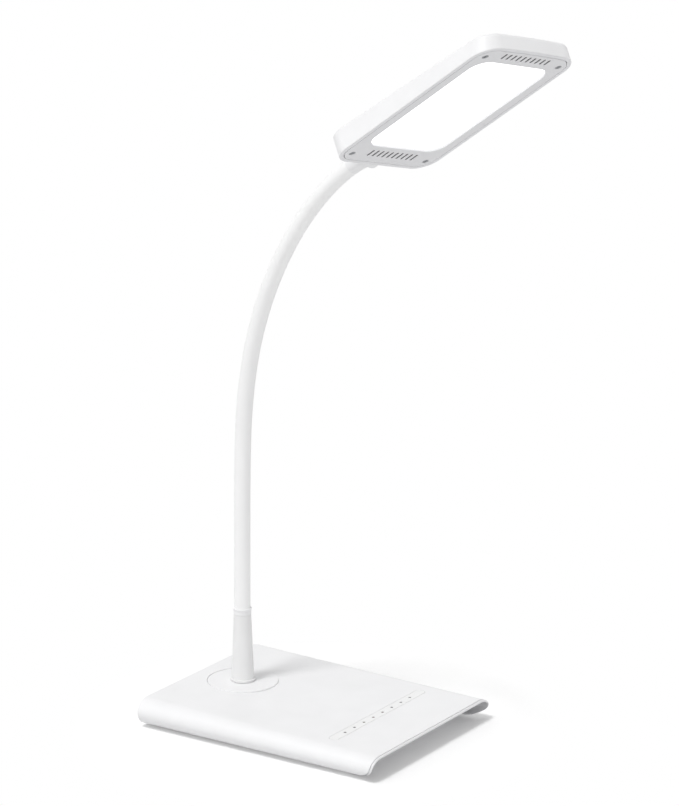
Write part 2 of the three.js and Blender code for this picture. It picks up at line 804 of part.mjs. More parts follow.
// The head's outer form, grown all round by a gap
function headOutside(gap) {
  const roundShare = 1 - Math.SQRT1_2;
  return headForm([
    [rimRound - gap, -gap],
    [rimRound * roundShare - gap, rimRound * roundShare - gap],
    [-gap, rimRound],
  ], [
    [headDraft - gap, -backRound],
    [headDraft + backRound * roundShare - gap, gap - backRound * roundShare],
    [headDraft + backRound - gap, gap],
  ]);
}

const headScrewPlaces = [headScrewNeckPlace, headScrewTipPlace].flatMap((along) => (
  [-1, 1].map((side) => [along, side * headScrewHalfSpan])
));
const diffuserLevel = bezelThickness + clearance;
const guideLevel = diffuserLevel + diffuserThickness + clearance;
const reflectorLevel = guideLevel + guideThickness + clearance;
const spreaderLevel = reflectorLevel + reflectorThickness + clearance;
const spreaderTop = spreaderLevel + spreaderThickness;
const windowPlace = windowNeckMargin + windowLength / 2;

function makeHeadShell() {
  const wallInset = headDraft + headWall;
  const hollow = headForm(
    [[headRim, -overrun], [headRim, diffuserLevel], [wallInset, diffuserLevel]],
    [[wallInset, -headWall]],
  );
  const backMiddle = (along) => headThickness(along) - headWall / 2;
  const bosses = headScrewPlaces.map(([along, across]) => (
    bar(headBossRadius, diffuserLevel, backMiddle(along), along, across, 16)
  ));
  const ribs = ribPlaceShares.map((share) => share * faceLength).map((along) => (
    block(ribThickness, ribLength, spreaderTop + clearance, backMiddle(along), along, 0)
  ));
  const pilots = headScrewPlaces.map(([along, across]) => (
    bar(headScrewRadius + clearance, 0, headScrewSink + headScrewLength + clearance, along, across, 12)
  ));
  const stemHole = bar(stemRadius + clearance, -overrun, wallInset + overrun, 0, 0)
    .rotateY(Math.PI / 2)
    .translate(0, 0, axisLevel);
  const shell = worked(headOutside(0), [], [hollow]);
  return worked(shell, [...bosses, ...ribs], [...pilots, stemHole]);
}

// A rounded plate of the window's form, grown by a margin, between two levels from the face
function windowPlate(margin, low, high) {
  const radius = windowCorner + margin;
  const reach = windowLength / 2 - windowCorner;
  const side = windowWidth / 2 - windowCorner;
  const outline = new THREE.Shape();
  outline.absarc(reach, -side, radius, -Math.PI / 2, 0, false);
  outline.absarc(reach, side, radius, 0, Math.PI / 2, false);
  outline.absarc(-reach, side, radius, Math.PI / 2, Math.PI, false);
  outline.absarc(-reach, -side, radius, Math.PI, 3 * Math.PI / 2, false);
  const run = { depth: high - low, bevelEnabled: false, curveSegments: 3 };
  return new THREE.ExtrudeGeometry(outline, run).translate(windowPlace, 0, low);
}

function makeBezel() {
  const inset = headRim + clearance;
  const plate = headForm([[inset, 0], [inset, bezelThickness]], []);
  const vents = [[ventNeckPlace, ventNeckLength], [ventTipPlace, ventTipLength]].flatMap(([along, length]) => (
    Array.from({ length: ventCount }, (_, index) => (
      slotBlock(length, ventWidth, bezelThickness + 2 * overrun, 2)
        .translate(along, (index - (ventCount - 1) / 2) * ventPitch, -overrun)
    ))
  ));
  const headSeat = headScrewSink + headScrewHeadHeight + clearance;
  const screwHoles = headScrewPlaces.flatMap(([along, across]) => [
    bar(headScrewRadius + clearance, -overrun, bezelThickness + overrun, along, across, 12),
    bar(headScrewHeadRadius + clearance, -overrun, headSeat, along, across, 16),
  ]);
  return worked(plate, [], [windowPlate(0, -overrun, bezelThickness + overrun), ...vents, ...screwHoles]);
}

// The board of one LED strip beside the light guide, its LEDs facing the guide's edge
function makeLedStrip(side) {
  const ledFace = windowWidth / 2 + panelMargin + clearance;
  const boardMiddle = ledFace + ledDepth + ledStripThickness / 2;
  const board = block(ledStripLength, ledStripThickness, guideLevel, guideLevel + ledStripHeight,
    windowPlace, side * boardMiddle);
  const ledLow = guideLevel + (guideThickness - ledWidth) / 2;
  const leds = Array.from({ length: ledCount }, (_, index) => (
    block(ledLength, boardMiddle - ledFace, ledLow, ledLow + ledWidth,
      windowPlace + (index - (ledCount - 1) / 2) * ledStripLength / ledCount,
      side * (ledFace + boardMiddle) / 2)
  ));
  return worked(board, leds, []);
}

// The collar that turns on the neck: its spigot enters the ferrule, its stem passes the head's wall
function buildHeadCollar(head, panel) {
  const clipTop = clipPlace + clipThickness;
  const grooveRadius = spigotRadius - clipDepth / 2 - clearance;
  const collarEnd = faceStart + headDraft + backRound / 2;
  const nutStart = faceStart + headDraft + headWall + clearance;
  const nutEnd = nutStart + collarNutHeight;
  const stemEnd = nutEnd + clearance;
  const spigot = turned([
    [spigotRadius, spigotEnd],
    [spigotRadius, clipPlace - clearance],
    [grooveRadius, clipPlace - clearance],
    [grooveRadius, clipTop + clearance],
    [spigotRadius, clipTop + clearance],
    [spigotRadius, collarEnd],
    [stemBore, collarEnd],
    [stemBore, spigotEnd],
  ], swivelSides);
  const rim = bar(headCollarRadius, collarStart, collarEnd, 0, -headCollarShift, swivelSides);
  const flange = worked(rim, [spigot], [headOutside(clearance).applyMatrix4(panel.matrix)]);
  const stem = bar(stemRadius, collarStart, stemEnd, 0, 0);
  const leadWay = bar(stemBore, spigotEnd - overrun, stemEnd + overrun, 0, 0);
  addPiece('head_collar', worked(flange, [stem], [leadWay]), whitePlastic(), head);
  const nutHole = bar(stemRadius + clearance, nutStart - overrun, nutEnd + overrun, 0, 0);
  const nut = worked(hexBar(collarNutAcross, nutStart, nutEnd), [], [nutHole]);
  addPiece('collar_nut', nut, steel(), head);
}

// The lead through the swivel's bore to the neck end of the plates under the light guide
function makeHeadLead() {
  // How far each point is along and down, in parts of the way from the spigot to the plates
  const pointShares = [
    [0, 0], [0.151, 0], [0.306, 0], [0.46, 0], [0.614, 0], [0.716, 0.08], [0.819, 0.41],
    [0.922, 0.86], [1, 1],
  ];
  const start = spigotEnd + headLeadSetback - faceStart;
  const end = windowNeckMargin - panelMargin - clearance;
  const endLevel = spreaderLevel + spreaderThickness / 2;
  return leadAlong(pointShares.map(([along, down]) => (
    [lerp(start, end, along), 0, lerp(axisLevel, endLevel, down)]
  )), headLeadRadius);
}

function buildPanel(panel) {
  addPiece('head_shell', makeHeadShell(), whitePlastic(), panel);
  addPiece('bezel', makeBezel(), facePlastic(), panel);
  const diffuser = windowPlate(panelMargin, diffuserLevel, diffuserLevel + diffuserThickness);
  addPiece('diffuser', diffuser, opalPlastic(), panel);
  const guide = windowPlate(panelMargin, guideLevel, guideLevel + guideThickness);
  addPiece('light_guide', guide, opalPlastic(), panel);
  const reflector = windowPlate(panelMargin, reflectorLevel, reflectorLevel + reflectorThickness);
  addPiece('reflector', reflector, opalPlastic(), panel);
  addPiece('heat_spreader', windowPlate(panelMargin, spreaderLevel, spreaderTop), aluminium(), panel);
  addPiece('led_strip_left', makeLedStrip(-1), boardGreen(), panel);
  addPiece('led_strip_right', makeLedStrip(1), boardGreen(), panel);
  headScrewPlaces.forEach(([along, across], index) => {
    const screw = makeScrew(headScrewHeadRadius, headScrewHeadHeight, headScrewRadius, headScrewLength);
    addPiece(`head_screw_${index + 1}`, screw, steel(), panel).position.set(along, across, headScrewSink);
  });
  addPiece('head_lead', makeHeadLead(), blackPlastic(), panel);
}

const lamp = new THREE.Group();
buildBase(lamp);
buildPost(lamp);

const bend = new THREE.Group();
bend.rotation.z = -bendTurn;
lamp.add(bend);
buildNeck(bend);

const neckEnd = neckFrame(neckLength);
const tip = new THREE.Group();
tip.position.copy(neckEnd.origin);
tip.rotation.x = neckEnd.lean;
bend.add(tip);
buildFerrule(tip);

const head = new THREE.Group();
head.rotation.z = -headRoll;
tip.add(head);

// The panel's own frame: X from the neck end to the tip, Y across, Z from the face to the back
const panel = new THREE.Group();
panel.setRotationFromMatrix(new THREE.Matrix4().makeBasis(
  new THREE.Vector3(0, 0, 1),
  new THREE.Vector3(1, 0, 0),
  new THREE.Vector3(0, 1, 0),
));
panel.position.set(0, -axisLevel, faceStart);
panel.updateMatrix();
head.add(panel);
buildHeadCollar(head, panel);
buildPanel(panel);

export default lamp;
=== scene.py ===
import math

import bmesh
import bpy
import numpy as np
from mathutils import Matrix, Vector


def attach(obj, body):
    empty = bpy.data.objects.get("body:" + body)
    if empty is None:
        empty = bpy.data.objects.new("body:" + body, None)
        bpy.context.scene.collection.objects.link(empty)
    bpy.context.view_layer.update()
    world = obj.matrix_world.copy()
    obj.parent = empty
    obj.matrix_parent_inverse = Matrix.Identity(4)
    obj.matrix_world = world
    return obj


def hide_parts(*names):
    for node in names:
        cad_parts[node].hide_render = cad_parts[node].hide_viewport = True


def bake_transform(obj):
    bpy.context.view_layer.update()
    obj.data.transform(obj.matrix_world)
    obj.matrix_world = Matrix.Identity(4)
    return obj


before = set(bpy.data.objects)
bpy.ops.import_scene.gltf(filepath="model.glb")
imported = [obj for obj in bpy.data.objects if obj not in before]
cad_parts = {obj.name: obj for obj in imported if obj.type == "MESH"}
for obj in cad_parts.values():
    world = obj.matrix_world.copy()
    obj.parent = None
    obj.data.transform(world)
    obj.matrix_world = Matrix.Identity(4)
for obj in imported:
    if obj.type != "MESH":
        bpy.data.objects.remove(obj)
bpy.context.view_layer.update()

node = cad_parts

# The camera: it stands where the photograph was taken from, in front of the lamp's left side and
# above it, and looks down at it through a long lens without leaning to either side.
camera_azimuth = math.radians(-56.53)
camera_elevation = math.radians(15.173)
camera_place = (-1.8293, -1.2901, 0.8263)
focal_length = 151.86
film_height = 36
camera = bpy.data.objects.new("camera", bpy.data.cameras.new("camera"))
bpy.context.collection.objects.link(camera)
camera.data.lens = focal_length
camera.data.sensor_width = film_height
camera_right = Vector((math.cos(camera_azimuth), math.sin(camera_azimuth), 0))
camera_back = Vector((
    math.sin(camera_azimuth) * math.cos(camera_elevation),
    -math.cos(camera_azimuth) * math.cos(camera_elevation),
    math.sin(camera_elevation),
))
camera_turn = Matrix((camera_right, camera_back.cross(camera_right), camera_back)).transposed()
camera.matrix_world = Matrix.Translation(camera_place) @ camera_turn.to_4x4()
bpy.context.scene.camera = camera
bpy.context.scene.view_settings.view_transform = "Standard"

# The studio: a wide white sheet that carries the lamp's shadow near the base and can be looked
# through from below, in a white room, with three soft distant lights: one from above, one from the
# photograph's left and one from near the camera.
floor_half_width = 6
floor_lightness = 0.61
floor_light = 0.14
shadow_lightness = 0.99
shadow_glow = 0.06
shadow_middle = (0, -0.06, 0)
shadow_reach = (0.13, 0.17)
room_strength = 0.54
studio_lights = {
    # Name: where the light comes from, its spread in degrees, its strength
    "key_light": ((-0.4, 0.12, 0.9), 14, 1.37),
    "side_light": ((-0.55, 0.83, 0.1), 40, 0.48),
    "front_light": ((-0.6, -0.78, 0.12), 40, 0.56),
}


def mixed(tree, factor, first, second):
    """A shader that is the first one where the factor is 0 and the second one where it is 1."""
    mix = tree.nodes.new("ShaderNodeMixShader")
    tree.links.new(factor, mix.inputs["Fac"])
    tree.links.new(first, mix.inputs[1])
    tree.links.new(second, mix.inputs[2])
    return mix.outputs[0]


def white_to_the_eye(tree, seen, hidden):
    """One shader for rays that the eye, a gloss or a glass sends, and another for the rest: the three
    kinds of ray are 0 or 1, and their greatest picks the one that is seen."""
    light_path = tree.nodes.new("ShaderNodeLightPath")
    either = light_path.outputs["Is Camera Ray"]
    for kind in ("Is Glossy Ray", "Is Transmission Ray"):
        greatest = tree.nodes.new("ShaderNodeMath")
        greatest.operation = "MAXIMUM"
        tree.links.new(either, greatest.inputs[0])
        tree.links.new(light_path.outputs[kind], greatest.inputs[1])
        either = greatest.outputs[0]
    return mixed(tree, either, hidden, seen)


def glowing_paper(tree, lightness, strength):
    """Paper that throws back this share of the light and sends out some of its own: a diffuse shader
    and an emission shader, added."""
    paper = tree.nodes.new("ShaderNodeBsdfDiffuse")
    paper.inputs["Color"].default_value = (lightness, lightness, lightness, 1)
    light = tree.nodes.new("ShaderNodeEmission")
    light.inputs["Strength"].default_value = strength
    both = tree.nodes.new("ShaderNodeAddShader")
    tree.links.new(paper.outputs[0], both.inputs[0])
    tree.links.new(light.outputs[0], both.inputs[1])
    return both.outputs[0]


room = bpy.data.worlds.new("white_room")
bpy.context.scene.world = room
room.use_nodes = True
seen_room = room.node_tree.nodes["Background"]
seen_room.inputs["Color"].default_value = (1, 1, 1, 1)
dim_room = room.node_tree.nodes.new("ShaderNodeBackground")
dim_room.inputs["Color"].default_value = (1, 1, 1, 1)
dim_room.inputs["Strength"].default_value = room_strength
room.node_tree.links.new(
    white_to_the_eye(room.node_tree, seen_room.outputs[0], dim_room.outputs[0]),
    room.node_tree.nodes["World Output"].inputs["Surface"],
)

sheet_mesh = bpy.data.meshes.new("studio_floor")
sheet_mesh.from_pydata([
    (-floor_half_width, -floor_half_width, 0),
    (floor_half_width, -floor_half_width, 0),
    (floor_half_width, floor_half_width, 0),
    (-floor_half_width, floor_half_width, 0),
], [], [(0, 1, 2, 3)])
studio_floor = bpy.data.objects.new("studio_floor", sheet_mesh)
bpy.context.collection.objects.link(studio_floor)
sheet = bpy.data.materials.new("white_sheet")
sheet.use_nodes = True
sheet_tree = sheet.node_tree
sheet_tree.nodes.remove(sheet_tree.nodes["Principled BSDF"])
floor_place = sheet_tree.nodes.new("ShaderNodeTexCoord")
away = sheet_tree.nodes.new("ShaderNodeVectorMath")
away.operation = "DISTANCE"
away.inputs[1].default_value = shadow_middle
fading = sheet_tree.nodes.new("ShaderNodeMapRange")
fading.interpolation_type = "SMOOTHSTEP"
fading.inputs["From Min"].default_value, fading.inputs["From Max"].default_value = shadow_reach
sheet_tree.links.new(floor_place.outputs["Object"], away.inputs[0])
sheet_tree.links.new(away.outputs["Value"], fading.inputs["Value"])
faded_sheet = mixed(
    sheet_tree,
    fading.outputs["Result"],
    glowing_paper(sheet_tree, shadow_lightness, shadow_glow),
    sheet_tree.nodes.new("ShaderNodeEmission").outputs[0],
)
lit_paper = glowing_paper(sheet_tree, floor_lightness, floor_light)
one_way = mixed(
    sheet_tree,
    sheet_tree.nodes.new("ShaderNodeNewGeometry").outputs["Backfacing"],
    white_to_the_eye(sheet_tree, faded_sheet, lit_paper),
    sheet_tree.nodes.new("ShaderNodeBsdfTransparent").outputs[0],
)
sheet_tree.links.new(one_way, sheet_tree.nodes["Material Output"].inputs["Surface"])
sheet_mesh.materials.append(sheet)

for name, (source, spread, strength) in studio_lights.items():
    soft_lamp = bpy.data.lights.new(name, "SUN")
    soft_lamp.angle = math.radians(spread)
    soft_lamp.energy = strength
    hung = bpy.data.objects.new(name, soft_lamp)
    bpy.context.collection.objects.link(hung)
    hung.location = source
    hung.rotation_euler = (-Vector(source)).to_track_quat("-Z", "Y").to_euler()

# The base housing: one shallow shell of injection-moulded white plastic with half-round sides, open
# at the front and below, a groove behind its front edge, and the post's cup, the strip's recess and
# four screw bosses in it. Its inside faces carry a greyer copy of the white plastic, as painted
# shade.
half_ring_steps = 33
round_sides = 96
hole_sides = 24
boss_sides = 32
base_half_width = 0.075
base_back = 0.036
base_front = 0.1555
height_at_back = 0.020
height_at_front = 0.016
floor_gap = 0.001
nose_width = 0.0115
front_sweep = 0.018
sweep_power = 4.5
shell_wall = 0.0022
lip_reach = 0.016
back_sill = 0.006
clearance = 0.0003
overrun = 0.004
disc_radius = 0.02485
disc_seam = 0.00015
disc_thickness = 0.0026
disc_proud = 0.0005
cup_rounding = 0.0002
pivot_radius = 0.007
cover_top = 0.003
boss_radius = 0.0035
boss_places = [(side * 0.052, y) for side in (-1, 1) for y in (-0.112, 0.020)]
cover_screw_radius = 0.0013
cover_screw_length = 0.008
strip_place = 0.112
strip_length = 0.114
strip_width = 0.007
strip_thickness = 0.0011
strip_sink = 0.0001
strip_seam = 0.00015
strip_rounding = 0.00025
pip_radius = 0.0008
pip_count = 8
pip_pitch = 0.0116
pip_places = (np.arange(pip_count) - (pip_count - 1) / 2) * pip_pitch
jack_width = 0.009
jack_level = 0.0095
top_slope = math.atan2(height_at_back - height_at_front, base_back + base_front)


def base_height(y):
    """Height of the sloping top: it falls evenly from the back end to the front end."""
    fall = height_at_front - height_at_back
    return height_at_back + fall * (base_back - y) / (base_back + base_front)


def base_ring(y, inset, swept=False):
    """A cross section as two half ellipses, one for each side, whose points run evenly in angle.
    Where it is swept, each point goes back by the sweep times a power of its depth below the top."""
    angle = np.linspace(-math.pi / 2, math.pi / 2, half_ring_steps)
    reach = base_half_width - nose_width + (nose_width - inset) * np.cos(angle)
    low, high = floor_gap + inset, base_height(y) - inset
    z = low + (high - low) * (1 + np.sin(angle)) / 2
    ring = np.stack([
        np.append(reach, -reach[::-1]),
        np.full(2 * half_ring_steps, y),
        np.append(z, z[::-1]),
    ], axis=-1)
    if swept:
        depth_share = np.clip((height_at_front - ring[:, 2]) / (height_at_front - floor_gap), 0, 1)
        ring[:, 1] += front_sweep * depth_share ** sweep_power
    return ring


def closed_skin(rings):
    """Points and faces of a closed form: each ring is joined to the next by four-sided faces, and
    the first and last rings are filled by one face each."""
    rings = np.asarray(rings, float)
    here = np.arange(rings.shape[0] * rings.shape[1]).reshape(rings.shape[:2])
    beside = np.roll(here, -1, axis=1)
    sides = np.stack([here[:-1], beside[:-1], beside[1:], here[1:]], axis=-1).reshape(-1, 4)
    return rings.reshape(-1, 3), [*sides.tolist(), here[0, ::-1].tolist(), here[-1].tolist()]


def together(*forms):
    """Points and faces of several forms in one: each form's faces count on from the points before
    it."""
    points = np.concatenate([form[0] for form in forms])
    firsts = np.cumsum([0] + [len(form[0]) for form in forms])
    return points, [
        [corner + first for corner in face]
        for form, first in zip(forms, firsts)
        for face in form[1]
    ]


def new_piece(name, points, faces):
    """An object with these points and faces, each separate form in it turned to face outwards."""
    mesh = bpy.data.meshes.new(name)
    mesh.from_pydata(np.asarray(points).tolist(), [], faces)
    form = bmesh.new()
    form.from_mesh(mesh)
    bmesh.ops.recalc_face_normals(form, faces=form.faces)
    if form.calc_volume(signed=True) < 0:
        bmesh.ops.reverse_faces(form, faces=form.faces)
    form.to_mesh(mesh)
    form.free()
    piece = bpy.data.objects.new(name, mesh)
    bpy.context.collection.objects.link(piece)
    return piece


def carved(piece, joined=None, cut=None):
    """Joins one set of separate solids to a piece and then cuts another away from it."""
    tools = []
    for form, operation in ((joined, "UNION"), (cut, "DIFFERENCE")):
        if form is not None:
            tools.append(new_piece("tool", *form))
            step = piece.modifiers.new(operation, "BOOLEAN")
            step.solver = "EXACT"
            step.operation = operation
            step.object = tools[-1]
    made = piece.evaluated_get(bpy.context.evaluated_depsgraph_get())
    mesh = bpy.data.meshes.new_from_object(made)
    piece.modifiers.clear()
    piece.data = mesh
    for tool in tools:
        bpy.data.objects.remove(tool)


def ringed(outline, levels):
    """A ring for each (growth, level): the outline is a function of its growth and is laid at that
    level."""
    return np.stack([
        np.column_stack([outline(growth), np.full(len(outline(growth)), level)])
        for growth, level in levels
    ])


def lofted(outline, levels):
    """A closed form whose rings are the outline at each (growth, level)."""
    return closed_skin(ringed(outline, levels))


def round_outline(radius, sides=round_sides):
    """A circle as a function of how far it is grown: even steps in angle at radius plus growth."""
    angle = np.linspace(0, 2 * math.pi, sides, endpoint=False)
    return lambda growth: (radius + growth) * np.stack([np.cos(angle), np.sin(angle)], axis=-1)


def slot_outline(length, width, steps=16):
    """A bar's outline with round ends, along X: two half circles, each about its own centre."""
    angle = np.linspace(-math.pi / 2, math.pi / 2, steps + 1)
    reach = (length - width) / 2

    def outline(growth):
        radius = width / 2 + growth
        x, y = reach + radius * np.cos(angle), radius * np.sin(angle)
        return np.stack([np.append(x, -x), np.append(y, -y)], axis=-1)

    return outline


def eased_rim(radius, level=0.0, way=1, points=5):
    """Growths and levels of a quarter round at a rim or an edge: the growth falls from the radius to
    nothing as the level goes by one radius in the given way."""
    return [
        (radius * (1 - math.sin(t)), level + way * radius * (1 - math.cos(t)))
        for t in np.linspace(0, math.pi / 2, points)
    ]


def moved(form, x, y):
    """A form with x and y added to its points."""
    return form[0] + np.array([x, y, 0]), form[1]


def rod(radius, low, high, place=(0, 0), sides=hole_sides):
    """A plain round bar that stands at a place (x, y) from the low level to the high one."""
    return moved(lofted(round_outline(radius, sides), [(0, low), (0, high)]), *place)


def at_strip(form, x=0.0):
    """A form made over z = 0, moved aside by x, turned to the top's slope and set on it where the
    touch strip is."""
    points, faces = moved(form, x, 0)
    turned = points @ np.array(Matrix.Rotation(top_slope, 3, "X")).T
    return turned + np.array([0, -strip_place, base_height(-strip_place)]), faces


inner_edge = 0.0003
front_edge = 0.0007
front_wall = 0.0016
front_taper = 0.006
groove_place = 0.0008
groove_width = 0.0011
groove_depth = 0.001
groove_ends = (-base_front + groove_place + groove_width, -base_front + groove_place)
back_edge = 0.0005
outer_back = [base_ring(y, inset) for inset, y in eased_rim(back_edge, base_back, -1)]
front_groove = [
    base_ring(y, groove_depth * sunk, True)
    for y, sunk in zip(np.repeat(groove_ends, 2), (0, 1, 1, 0))
]
outer_front = [
    base_ring(y, inset, True)
    for inset, y in eased_rim(front_edge, -base_front)[::-1]
]
inner_front = [
    base_ring(y, front_wall - growth, True)
    for growth, y in eased_rim(inner_edge, -base_front)
]
front_thinning = [base_ring(-base_front + front_taper, shell_wall, True)]
inner_back = [base_ring(base_back - shell_wall, shell_wall)]
base_housing = new_piece("base_housing", *closed_skin(
    outer_back + front_groove + outer_front + inner_front + front_thinning + inner_back,
))

disc_top = base_height(0) + disc_proud
cup_radius = disc_radius + disc_seam
cup_floor = disc_top - disc_thickness - clearance
cup_underside = cup_floor - shell_wall
cup_height = base_height(0) - shell_wall / 2
cup = rod(cup_radius + shell_wall, cup_underside, cup_height, sides=round_sides)
bosses = [
    rod(boss_radius, cover_top + clearance, base_height(y) - shell_wall / 2, (x, y), boss_sides)
    for x, y in boss_places
]
cup_rim = eased_rim(cup_rounding, disc_top - disc_proud, -1)
pivot_growth = pivot_radius + clearance - cup_radius
cup_bore = lofted(round_outline(cup_radius), [
    (pivot_growth, cup_underside - overrun),
    (pivot_growth, cup_floor),
    (0, cup_floor),
    *cup_rim[::-1],
    (cup_rim[0][0], disc_top + overrun),
])
opening_reach = base_half_width - lip_reach
lip_end = (opening_reach, -0.1312)
lip_taper = (opening_reach + 0.0085, -0.1352)
opening_side = [
    (opening_reach, base_back - back_sill),
    lip_end,
    lip_taper,
    (lip_taper[0], -base_front - overrun),
]
opening_outline = opening_side + [(-x, y) for x, y in opening_side[::-1]]
opening = closed_skin([
    np.array([(x, y, z) for x, y in opening_outline])
    for z in (floor_gap - overrun, floor_gap + shell_wall + clearance)
])
strip_depth = strip_thickness + strip_sink + clearance
recess_rim = eased_rim(strip_rounding, 0, -1)
recess = at_strip(lofted(
    slot_outline(strip_length + 2 * strip_seam, strip_width + 2 * strip_seam),
    [(0, -strip_depth), *recess_rim[::-1], (recess_rim[0][0], overrun)],
))
pip_holes = [
    at_strip(rod(pip_radius + clearance, -shell_wall - overrun, -strip_depth / 2), x)
    for x in pip_places
]
pilots = [
    rod(cover_screw_radius + clearance, cover_top, cover_top + cover_screw_length, place)
    for place in boss_places
]
jack_hole_half = jack_width / 2 + clearance
jack_hole = closed_skin([
    np.array([
        (-jack_hole_half, y, jack_level - jack_hole_half),
        (jack_hole_half, y, jack_level - jack_hole_half),
        (jack_hole_half, y, jack_level + jack_hole_half),
        (-jack_hole_half, y, jack_level + jack_hole_half),
    ])
    for y in (base_back - shell_wall - overrun, base_back + overrun)
])
carved(
    base_housing,
    together(cup, *bosses),
    together(cup_bore, opening, recess, *pilots, jack_hole),
)
carved(base_housing, None, together(*pip_holes))


def tone(code):
    """A colour code's linear red, green and blue, by the usual curve for screens, and full alpha."""
    parts = [(code >> shift & 255) / 255 for shift in (16, 8, 0)]
    return [
        part / 12.92 if part <= 0.04045 else ((part + 0.055) / 1.055) ** 2.4
        for part in parts
    ] + [1]


def add_pattern(tree, kind, vector, **settings):
    """A texture node of one kind, fed by these coordinates, its inputs set by name."""
    pattern = tree.nodes.new(kind)
    tree.links.new(vector, pattern.inputs["Vector"])
    for name, value in settings.items():
        pattern.inputs[name.replace("_", " ").title()].default_value = value
    return pattern


def graded(tree, factor, stops):
    """A colour for each (position, colour) along a factor, running evenly between them."""
    ramp = tree.nodes.new("ShaderNodeValToRGB")
    while len(ramp.color_ramp.elements) < len(stops):
        ramp.color_ramp.elements.new(0.5)
    for element, (position, colour) in zip(ramp.color_ramp.elements, stops):
        element.position = position
        element.color = colour
    tree.links.new(factor, ramp.inputs["Fac"])
    return ramp.outputs["Color"]


def varied(tree, factor, light, dark, roughness, spread):
    """Colour and gloss that follow one factor: dark up to 0.3, light from 0.7 and evenly between
    them, with a roughness that runs from one spread below its middle to one above."""
    shader = tree.nodes["Principled BSDF"]
    stops = [(0.3, tone(dark)), (0.7, tone(light))]
    tree.links.new(graded(tree, factor, stops), shader.inputs["Base Color"])
    gloss = tree.nodes.new("ShaderNodeMapRange")
    gloss.inputs["To Min"].default_value = roughness - spread
    gloss.inputs["To Max"].default_value = roughness + spread
    tree.links.new(factor, gloss.inputs["Value"])
    tree.links.new(gloss.outputs["Result"], shader.inputs["Roughness"])


def roughened(tree, height, strength, distance):
    """Bumps of a height pattern on the shader's normal, at this strength and depth in metres."""
    bump = tree.nodes.new("ShaderNodeBump")
    bump.inputs["Strength"].default_value = strength
    bump.inputs["Distance"].default_value = distance
    tree.links.new(height, bump.inputs["Height"])
    tree.links.new(bump.outputs["Normal"], tree.nodes["Principled BSDF"].inputs["Normal"])


def new_finish(name, metallic=0.0):
    """A material with its node tree and its object coordinates."""
    finish = bpy.data.materials.new(name)
    finish.use_nodes = True
    tree = finish.node_tree
    tree.nodes["Principled BSDF"].inputs["Metallic"].default_value = metallic
    return finish, tree, tree.nodes.new("ShaderNodeTexCoord").outputs["Object"]


def moulded(name, light, dark, roughness, grain=2600, depth=0.00002):
    """Moulded plastic: its colour and gloss cloud a little over centimetres, and the mould's fine
    spark-eroded grain stands on it as bumps, at a depth in metres."""
    finish, tree, place = new_finish(name)
    cloud = add_pattern(tree, "ShaderNodeTexNoise", place, scale=45, detail=3)
    varied(tree, cloud.outputs["Fac"], light, dark, roughness, 0.05)
    speck = add_pattern(tree, "ShaderNodeTexNoise", place, scale=grain, detail=2)
    roughened(tree, speck.outputs["Fac"], 0.35, depth)
    return finish


def coated(names, finish):
    """Gives the solids of these names one material and leaves their meshes alone."""
    for name in names:
        node[name].data.materials.clear()
        node[name].data.materials.append(finish)


def dressed(piece, finish, body, stands_for, crease=24):
    """Gives a piece its material, smooth shading that breaks at creases, normals weighted by face
    area, and its place in the moving model."""
    piece.data.materials.clear()
    piece.data.materials.append(finish)
    piece.data.shade_smooth()
    piece.data.set_sharp_from_angle(angle=math.radians(crease))
    weighted = piece.modifiers.new("weighted", "WEIGHTED_NORMAL")
    weighted.keep_sharp = True
    if body:
        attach(piece, body)
    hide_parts(*stands_for)


white_shell = moulded("white_shell", 0xF1F1F2, 0xEEEEEF, 0.42)
dressed(base_housing, white_shell, "base", ["base_shell"])
hollow_level = 0.008
seam_slack = 0.0002
# Painted shade: a greyer copy of the white plastic for the housing's inside faces, which darkens the
# rolled sides from within.
base_inside_painted_shade = moulded("base_inside_painted_shade", 0xCBCBCD, 0xC6C6C8, 0.6)
base_housing.data.materials.append(base_inside_painted_shade)
for face in base_housing.data.polygons:
    middle = face.center
    inwards = -middle.x * face.normal.x + (hollow_level - middle.z) * face.normal.z
    under_top = middle.z < base_height(middle.y) - shell_wall + seam_slack
    if inwards > seam_slack and under_top and middle.xy.length > cup_radius + shell_wall:
        face.material_index = 1

# The base cover: a flat tray of light grey moulded plastic with a raised rim, screwed up into the
# housing from below, with recesses for its feet and standoffs for the control board.
cover_grey = moulded("cover_grey", 0xE5E5E7, 0xE2E2E4, 0.5)
coated(["base_cover"], cover_grey)

# The screws: turned and thread-rolled steel with a slot, all driven up from below, four through the
# base cover and four through the bezel, whose steel is darker as painted shade for their seats.


def bright_steel(name, light, dark, roughness, scale):
    """Bare metal: fine stretched streaks in its tone, its gloss and its height."""
    finish, tree, place = new_finish(name, 1.0)
    stretch = tree.nodes.new("ShaderNodeMapping")
    stretch.inputs["Scale"].default_value = (1, 0.06, 1)
    tree.links.new(place, stretch.inputs["Vector"])
    streak = add_pattern(tree, "ShaderNodeTexNoise", stretch.outputs[0], scale=scale, detail=4)
    varied(tree, streak.outputs["Fac"], light, dark, roughness, 0.08)
    roughened(tree, streak.outputs["Fac"], 0.3, 0.00001)
    return finish


screw_steel = bright_steel("screw_steel", 0xB8BABC, 0xA6A8AA, 0.35, 900)
# Painted shade: a darker steel for the bezel's screws, standing in for the shade in their seats.
painted_shade_steel = bright_steel("painted_shade_steel", 0xA4A6A9, 0x959799, 0.45, 900)
coated([f"cover_screw_{number}" for number in range(1, 5)], screw_steel)
coated([f"head_screw_{number}" for number in range(1, 5)], painted_shade_steel)

# The ballast plate: a flat slab cut from zinc-plated steel. It lies on the cover, inside the base,
# and keeps the lamp down.
ballast_steel = bright_steel("ballast_steel", 0xA9ACAE, 0x94979A, 0.45, 260)
coated(["ballast_plate"], ballast_steel)

